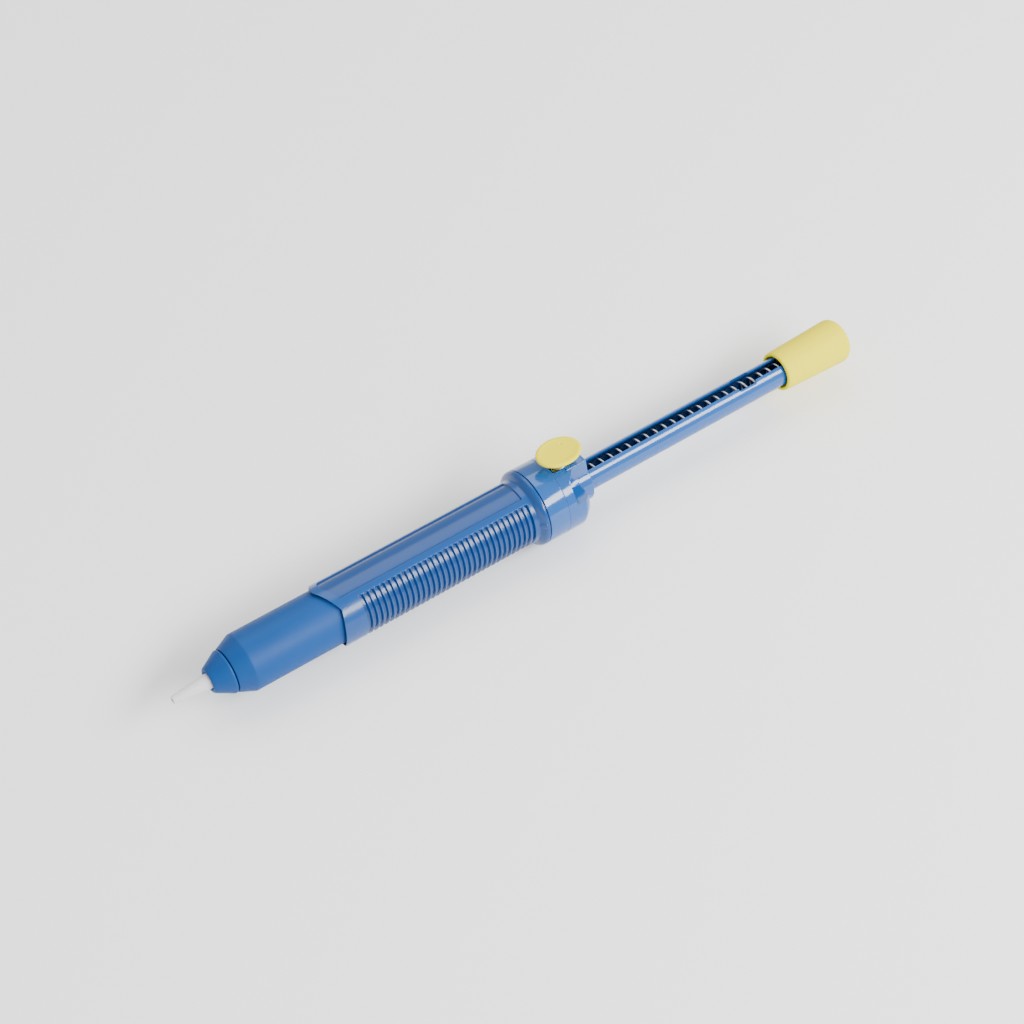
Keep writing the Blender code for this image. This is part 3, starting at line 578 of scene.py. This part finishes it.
# Rubber and nylon pieces. The nozzle's seal, the piston's ring and the bumper are black
# nitrile. The bush that the tube slides in, the piston, the tube's plug and the spring's
# seat are natural nylon. All of them keep their modelled shapes.
RUBBER_BLACK = (0.018, 0.018, 0.02)
NYLON_WHITE = (0.72, 0.71, 0.66)
rubber = moulded("nitrile_rubber", RUBBER_BLACK, 0.62, mottle=0.3, unevenness=0.2, peel=0.4)
nylon = moulded("natural_nylon", NYLON_WHITE, 0.45, mottle=0.05, peel=0.15)


def finish_node(node, material):
    """Gives a node that keeps its modelled shape its finish."""
    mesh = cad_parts[node].data
    mesh.materials.clear()
    mesh.materials.append(material)


for node in ("nozzle_seal", "bumper_ring", "piston_ring"):
    finish_node(node, rubber)
for node in ("guide_bush", "piston", "tube_plug", "spring_seat"):
    finish_node(node, nylon)


# Main spring. Bright drawn steel wire, with a closed turn at each end. It pushes the knob
# away from the anchor plate in the rear cap, and shows through the tube's slot. The steel
# pieces that keep their modelled shapes have the same finish.
def make_wire_group():
    """Drawn steel: fine streaks, a few dull patches and traces of grease."""
    tree, source, sink = shader_group(
        "drawn_steel",
        [("Colour", (0.6, 0.6, 0.6, 1)), ("Gloss", 0.25)],
        [("Colour", "NodeSocketColor"), ("Roughness", "NodeSocketFloat"), ("Height", "NodeSocketFloat")],
    )
    streak = add_noise(tree, 3000, 3, (0.2, 1, 1))
    patch = add_noise(tree, 350, 3)
    tint = add_mix(tree, patch, source.outputs["Colour"], (0.30, 0.28, 0.25, 1))
    colour = add_mix(tree, 0.65, tint, source.outputs["Colour"])
    spread = add_math(tree, "MULTIPLY", add_math(tree, "SUBTRACT", streak, 0.5), 0.3)
    rough = add_math(tree, "ADD", source.outputs["Gloss"], spread, clamp=True)
    tree.links.new(colour, sink.inputs["Colour"])
    tree.links.new(rough, sink.inputs["Roughness"])
    tree.links.new(streak, sink.inputs["Height"])
    return tree


drawn_steel = make_wire_group()


def steel(name, colour, gloss):
    """A bare steel material: the group feeds a fully metallic Principled shader."""
    material = bpy.data.materials.new(name)
    material.use_nodes = True
    tree = material.node_tree
    shader = tree.nodes["Principled BSDF"]
    shader.inputs["Metallic"].default_value = 1.0
    look = tree.nodes.new("ShaderNodeGroup")
    look.node_tree = drawn_steel
    look.inputs["Colour"].default_value = (*colour, 1)
    look.inputs["Gloss"].default_value = gloss
    bump = tree.nodes.new("ShaderNodeBump")
    bump.inputs["Strength"].default_value = 0.08
    bump.inputs["Distance"].default_value = 0.0001
    tree.links.new(look.outputs["Colour"], shader.inputs["Base Color"])
    tree.links.new(look.outputs["Roughness"], shader.inputs["Roughness"])
    tree.links.new(look.outputs["Height"], bump.inputs["Height"])
    tree.links.new(bump.outputs["Normal"], shader.inputs["Normal"])
    return material


def coil(centre, radius, wire, turns, length, steps=28, sides=10):
    """A coil of round wire along u, with one closed turn at each end.

    The wire's middle is at (u, radius cos t, radius sin t). Its section is a circle in
    the plane of the radial direction and u, and both ends shrink to a point.
    """
    t = np.linspace(0, turns, int(turns * steps) + 1)
    open_rise = (length - 4 * wire) / (turns - 2)
    rise = np.interp(t, [0, 1, turns - 1, turns], [0, 2 * wire, length - 2 * wire, length])
    slope = open_rise / (2 * pi * radius)
    angle = 2 * pi * t[:, None]
    section = np.radians(np.arange(0, 360, 360 / sides))
    out = radius + wire * np.cos(section)
    u = rise[:, None] + wire * np.sin(section) * np.hypot(1, slope)
    rows = np.stack([u, out * np.cos(angle), out * np.sin(angle)], -1)
    ends = rows.mean(1, keepdims=True) + 0 * rows
    return np.concatenate([ends[:1], rows, ends[-1:]]) + np.array(centre)


WIRE_RADIUS = 0.425
DRAWN_WIRE = 0.85 * WIRE_RADIUS
SPRING_PITCH = 3.45
TUBE_BORE = 3.9
SPRING_GAP = 0.3
spring_low, spring_high = cad("main_spring")
spring_length = spring_high[0] - spring_low[0] - 2 * WIRE_RADIUS
coil_radius = TUBE_BORE - SPRING_GAP - WIRE_RADIUS
spring_points = coil(
    (spring_low[0] + WIRE_RADIUS, 0, AXIS_Z), coil_radius, DRAWN_WIRE,
    round(spring_length / SPRING_PITCH), spring_length,
)
main_spring = surface("drive_spring", spring_points, ring=False, sharp=60)
spring_steel = steel("bright_spring_steel", (0.55, 0.56, 0.60), 0.36)
place(main_spring, spring_steel, "housing", "spring_steel", "main_spring")
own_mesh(main_spring)
for node in ("spring_anchor", "spring_washer", "latch_bar", "latch_screw", "pin_screw", "cleaning_pin"):
    finish_node(node, spring_steel)

# Release button. A dished oval thumb button and its round stem, one yellow moulding, with
# a small gate mark on top. The latch bar is screwed to the stem's lower end.
button_low, button_high = cad("release_button")
BUTTON_HALF = (button_high[:2] - button_low[:2]) / 2
BUTTON_TOP = button_high[2] - AXIS_Z
DISH_DEPTH = 0.32
HEAD_DEPTH = 1.4
STEM_RADIUS = 1.6
STEM_BOTTOM = button_low[2] - AXIS_Z
SCREW_HOLE = 0.8
SCREW_DEPTH = 3.9
GATE = (2.55, 2.28)  # from the button's middle
button_outline = rounded([
    (0.0, BUTTON_TOP - DISH_DEPTH, 0), (3.9, BUTTON_TOP - 0.30, 0.7), (5.15, BUTTON_TOP, 0.5),
    (BUTTON_HALF[1], BUTTON_TOP - 0.35, 0.3), (5.7, BUTTON_TOP - 1.1, 0.25),
    (5.2, BUTTON_TOP - HEAD_DEPTH, 0.3), (STEM_RADIUS, BUTTON_TOP - HEAD_DEPTH, 0.3),
    (STEM_RADIUS, STEM_BOTTOM, 0.1), (SCREW_HOLE, STEM_BOTTOM, 0.1),
    (SCREW_HOLE, STEM_BOTTOM + SCREW_DEPTH, 0.1), (0.0, STEM_BOTTOM + SCREW_DEPTH, 0),
], 7)
flat_rows = np.stack([np.linspace(0.2, 3.1, 24), np.full(24, BUTTON_TOP - DISH_DEPTH)], -1)
button_outline = np.vstack([button_outline[:1], flat_rows, button_outline[1:]])
reach, height = button_outline[:, 0, None], button_outline[:, 1, None]
in_head = height > BUTTON_TOP - HEAD_DEPTH - 0.6
stretch = 1 + (BUTTON_HALF[0] / BUTTON_HALF[1] - 1) * step(reach, STEM_RADIUS, 2.0) * in_head
button_x = reach * stretch * np.cos(ROUND)
button_y = reach * np.sin(ROUND)
gate = np.hypot(button_x - GATE[0], button_y - GATE[1])
dimple = -0.3 * (1 - step(gate, 0.2, 0.3)) * (height > BUTTON_TOP - 0.6)
release_button = surface("thumb_button", np.stack([
    BUTTON_X + button_x, button_y, AXIS_Z + height + dimple,
], -1), ring=False)
LEMON = (0.74, 0.64, 0.0)
lemon = moulded("lemon_plastic", LEMON, 0.48, mottle=0.05, peel=0.10, specular=0.06)
place(release_button, lemon, "button", "yellow_plastic", "release_button")

# Button spring. A light coil round the stem, between the pocket's floor and the button's
# underside. It lifts the latch bar into the tube's notch.
BUTTON_WIRE = 0.2
BUTTON_COIL = 2.12
lift_low, lift_high = cad("button_spring")
lift_length = lift_high[2] - lift_low[2] - 2 * BUTTON_WIRE
lift_points = coil((0, 0, 0), BUTTON_COIL, BUTTON_WIRE * 0.98, 7, lift_length)
along, out_x, out_y = lift_points.transpose(2, 0, 1)
button_spring = surface("lift_spring", np.stack([
    BUTTON_X + out_x, out_y, along + lift_low[2] + BUTTON_WIRE,
], -1), ring=False, sharp=60)
place(button_spring, spring_steel, "housing", "spring_steel", "button_spring")
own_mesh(button_spring)

# Plunger tube. A glossy blue moulded tube with one slot along its top for the spring's
# anchor and the latch, widened near the knob into the notch where the latch catches.
tube_low, tube_high = cad("plunger_tube")
TUBE_RADIUS = 5.0
SLOT_HALF = 2.0
SLOT_START = CAP_FRONT + 6.3
NOTCH = (BUTTON_X + 72.05, BUTTON_X + 78.45)
NOTCH_HALF = 2.8
ARC_POINTS = 56
tube_x = np.unique(np.round(np.concatenate([
    [SLOT_START + 0.02, tube_high[0]], np.arange(8, tube_high[0] - 1, 4.0),
    NOTCH[0] + np.linspace(-0.6, 0.2, 12), NOTCH[1] + np.linspace(-0.2, 1.0, 12),
]), 3))
half_slot = SLOT_HALF + (NOTCH_HALF - SLOT_HALF) * step(tube_x, NOTCH[0] - 0.4, 0.4) * (
    1 - step(tube_x, NOTCH[1], 0.9)
)


def slotted(x, half, ease=0.12):
    """A tube with a slot on top: rows at x, each a closed loop of two arcs.

    The outer arc runs from the slot's edge all the way round at the outer radius, and the
    inner arc comes back. Easing pulls the four corners in to round the slot's edges.
    """
    share = np.linspace(0, 1, ARC_POINTS)
    loops = []
    for radius, way in ((TUBE_RADIUS, 1), (TUBE_BORE, -1)):
        edge = np.arcsin(half / radius)[:, None]
        bend = (edge + (2 * pi - 2 * edge) * share)[:, ::way]
        inward = np.zeros(ARC_POINTS)
        inward[[0, -1]] = ease * way
        loops.append(np.stack([
            x[:, None] + 0 * bend, -(radius - inward) * np.sin(bend),
            AXIS_Z + (radius - inward) * np.cos(bend),
        ], -1))
    return np.concatenate(loops, 1)


# The inner arc is marked as inside, but for its two ends, which are the slot's edges; the mark paints
# shade into the bore.
# The rows leave the tube open at both ends, and a flat face closes each.
inside = np.append(np.zeros(ARC_POINTS), np.arange(ARC_POINTS) % (ARC_POINTS - 1) > 0)
plunger_tube = surface(
    "loading_tube", slotted(tube_x, half_slot), ring=False,
    marks={"inside": np.tile(inside, (len(tube_x), 1))},
)
shape = bmesh.new()
shape.from_mesh(plunger_tube.data)
open_edges = [edge for edge in shape.edges if edge.is_boundary]
bmesh.ops.holes_fill(shape, edges=open_edges)
bmesh.ops.triangulate(shape, faces=[face for face in shape.faces if len(face.verts) > 4])
bmesh.ops.recalc_face_normals(shape, faces=shape.faces)
shape.to_mesh(plunger_tube.data)
shape.free()
plunger_tube.data.shade_smooth()
plunger_tube.data.set_sharp_from_angle(angle=radians(40))
tube_blue = moulded(
    "tube_blue_plastic", GLOSS_BLUE, 0.12, mottle=0.07, unevenness=0.05, peel=0.04, specular=0.7,
)
# Painted shade: the bore is darkened to stand in for the shade inside the tube.
paint_shade_in_hollows(tube_blue, "inside", (0.5, 0.5, 0.55))
place(plunger_tube, tube_blue, "plunger", "cap_plastic", "plunger_tube")

# Front of the plunger tube. The tube is round and plain from the piston to the slot's
# start. It is the same blue moulding, and it always stays inside the barrel and the cap.
tube_front = surface("loading_tube_front", turned(rounded([
    (tube_low[0], TUBE_BORE, 0.1), (tube_low[0], TUBE_RADIUS, 0.2),
    (SLOT_START, TUBE_RADIUS, 0.02), (SLOT_START, TUBE_BORE, 0.02),
]), ROUND[::2]))
place(tube_front, gloss_blue, "plunger", "cap_plastic")

# Knob. A hollow yellow moulding pressed on the tube's end. It flares a little to the rear,
# its rim is rounded over, and the tube goes into its mouth with a dark gap round it.
knob_low, knob_high = cad("knob")
KNOB_REAR = knob_high[2] - AXIS_Z
knob = surface("loading_knob", turned(rounded([
    (knob_low[0] + 2.0, 5.3, 0),
    (knob_low[0] + 2.0, 5.5, 0.1),
    (knob_low[0] + 0.15, 5.55, 0.3),
    (knob_low[0], 6.1, 0.22),
    (knob_low[0] + 0.35, 6.68, 0.3),
    (knob_low[0] + 1.2, 6.82, 0.4),
    (knob_high[0] - 1.6, KNOB_REAR, 0.9),
    (knob_high[0] - 0.35, KNOB_REAR - 0.8, 0.7),
    (knob_high[0], KNOB_REAR - 2.1, 0.7),
    (knob_high[0], 0.0, 0),
    (knob_high[0] - 3.1, 0.0, 0),
    (knob_high[0] - 3.1, 5.3, 0.2),
], 8)), ring=False)
place(knob, lemon, "plunger", "yellow_plastic", "knob")

# Studio. A pale floor, soft light from above, one long softbox on the near side, which
# draws the crisp line along the glossy collar and tube, and the camera.
CAMERA_AZIMUTH = radians(-36.3)
CAMERA_ELEVATION = radians(47.7)
CAMERA_DISTANCE = 0.6465
AIM = Vector((-0.0072, 0, AXIS_Z * MM + 0.0017))
LENS = 73.8


def looking(azimuth, elevation):
    """The direction from the pump towards a viewer at these angles."""
    return Vector((
        sin(azimuth) * cos(elevation), -cos(azimuth) * cos(elevation), sin(elevation),
    ))


def softbox(name, direction, distance, size, power):
    """A rectangular light that faces the pump. size is along X and across, in metres."""
    light = bpy.data.lights.new(name, "AREA")
    light.shape = "RECTANGLE"
    light.size, light.size_y = size
    light.energy = power
    lamp = bpy.data.objects.new(name, light)
    bpy.context.scene.collection.objects.link(lamp)
    lamp.location = direction.normalized() * distance
    lamp.rotation_euler = direction.to_track_quat("Z", "Y").to_euler()
    return lamp


FLOOR_HALF = 6.0
floor_corners = [(FLOOR_HALF * x, FLOOR_HALF * y, 0) for x, y in ((-1, -1), (1, -1), (1, 1), (-1, 1))]
floor_mesh = bpy.data.meshes.new("studio_floor")
floor_mesh.from_pydata(floor_corners, [], [(0, 1, 2, 3)])
floor = bpy.data.objects.new("studio_floor", floor_mesh)
bpy.context.scene.collection.objects.link(floor)
floor_paint = bpy.data.materials.new("floor_paint")
floor_paint.use_nodes = True
floor_shader = floor_paint.node_tree.nodes["Principled BSDF"]
floor_shader.inputs["Base Color"].default_value = (0.92, 0.92, 0.92, 1)
floor_shader.inputs["Roughness"].default_value = 0.9
floor_mesh.materials.append(floor_paint)

world = bpy.data.worlds.new("studio")
world.use_nodes = True
world.node_tree.nodes["Background"].inputs["Color"].default_value = (1, 1, 1, 1)
world.node_tree.nodes["Background"].inputs["Strength"].default_value = 1.0
bpy.context.scene.world = world
softbox("overhead", Vector((0.1, 0.5, 1.0)), 1.6, (1.6, 1.2), 14)
softbox("near_strip", Vector((0.40, -0.70, 0.59)), 1.2, (1.6, 0.34), 38)

camera_data = bpy.data.cameras.new("camera")
camera_data.lens = LENS
camera_data.sensor_width = 36
camera = bpy.data.objects.new("camera", camera_data)
bpy.context.scene.collection.objects.link(camera)
camera_way = looking(CAMERA_AZIMUTH, CAMERA_ELEVATION)
camera.location = AIM + camera_way * CAMERA_DISTANCE
camera.rotation_euler = camera_way.to_track_quat("Z", "Y").to_euler()
bpy.context.scene.camera = camera
